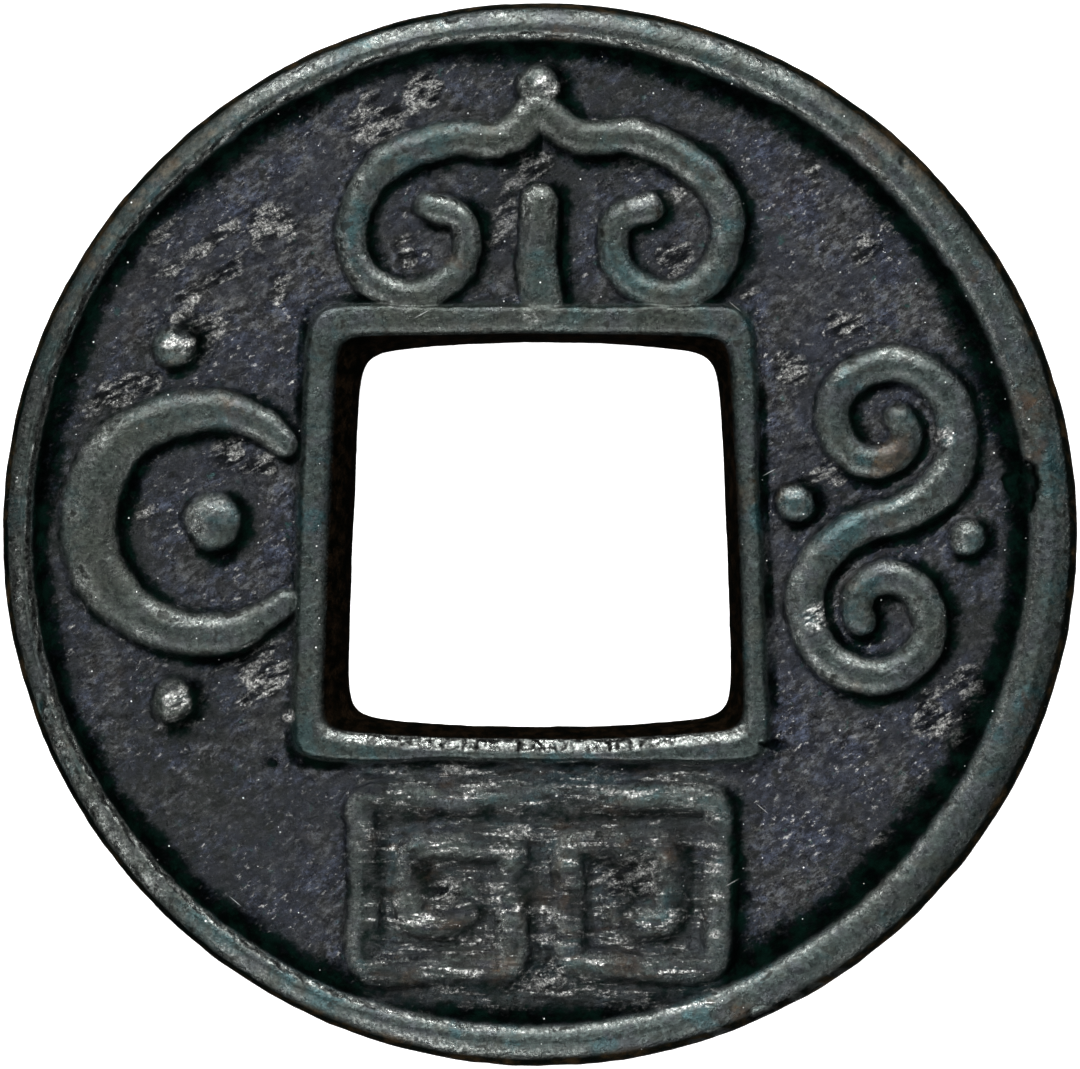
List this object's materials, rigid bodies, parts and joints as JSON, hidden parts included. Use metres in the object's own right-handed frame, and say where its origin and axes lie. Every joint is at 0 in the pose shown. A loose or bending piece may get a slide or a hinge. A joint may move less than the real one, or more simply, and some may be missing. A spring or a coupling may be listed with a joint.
{
  "type": "square-holed cash coin",
  "caption": "Round cast bronze coin with a square hole, raised rims round its edge and its hole, and relief ornaments on its face.",
  "frame": {"origin": "on the plane that the coin's back rests on, under the middle of its outline", "axes": "+Z out of the ornamented face, +Y towards the top of the face, +X to the right of the face"},
  "size_m": [0.0374, 0.037, 0.003],
  "materials": {
    "bronze": "dark blue-black patina, worn greyer and greener on the rims and the tops of the relief"
  },
  "bodies": {
    "root": {"cast_bronze_coin": "bronze"}
  },
  "joints": []
}
